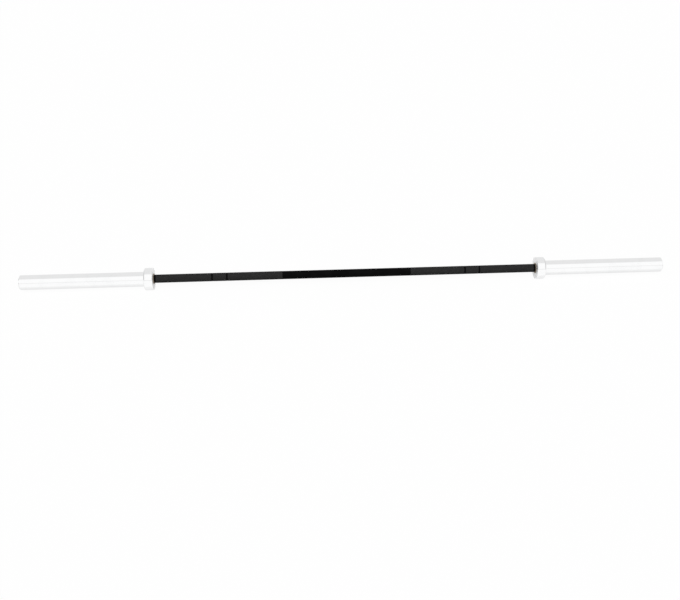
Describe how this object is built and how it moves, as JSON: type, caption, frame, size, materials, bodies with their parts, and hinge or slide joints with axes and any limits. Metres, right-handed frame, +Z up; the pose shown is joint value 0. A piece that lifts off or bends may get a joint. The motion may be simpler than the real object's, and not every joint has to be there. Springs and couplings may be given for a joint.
{
  "type": "olympic barbell",
  "caption": "Olympic lifting bar: knurled black shaft with ring marks and a bare centre, and chromed sleeves with stop collars that spin freely on bronze bushes.",
  "frame": {"origin": "middle of the shaft, on its axis", "axes": "+X along the bar towards the right sleeve, +Z up"},
  "size_m": [2.2, 0.076, 0.076],
  "materials": {
    "black_shaft": "satin",
    "hard_chrome": "polished",
    "bronze": "satin",
    "ground_steel": "satin",
    "spring_steel": "satin",
    "black_cap": "satin"
  },
  "bodies": {
    "bar": {"shaft": "black_shaft", "left_thrust_washer": "ground_steel", "right_thrust_washer": "ground_steel", "left_inner_snap_ring": "spring_steel", "right_inner_snap_ring": "spring_steel", "left_spacer_washer": "ground_steel", "right_spacer_washer": "ground_steel", "left_outer_snap_ring": "spring_steel", "right_outer_snap_ring": "spring_steel"},
    "left_sleeve": {"left_sleeve_tube": "hard_chrome", "left_collar": "hard_chrome", "left_inner_bush": "bronze", "left_outer_bush": "bronze", "left_end_cap": "black_cap", "left_cap_ring": "spring_steel"},
    "right_sleeve": {"right_sleeve_tube": "hard_chrome", "right_collar": "hard_chrome", "right_inner_bush": "bronze", "right_outer_bush": "bronze", "right_end_cap": "black_cap", "right_cap_ring": "spring_steel"}
  },
  "joints": [
    {"name": "left_sleeve_spin", "type": "hinge", "parent": "bar", "child": "left_sleeve", "pos_m": [-0.8775, 0, 0], "axis": [1, 0, 0], "continuous": true},
    {"name": "right_sleeve_spin", "type": "hinge", "parent": "bar", "child": "right_sleeve", "pos_m": [0.8775, 0, 0], "axis": [1, 0, 0], "continuous": true}
  ]
}
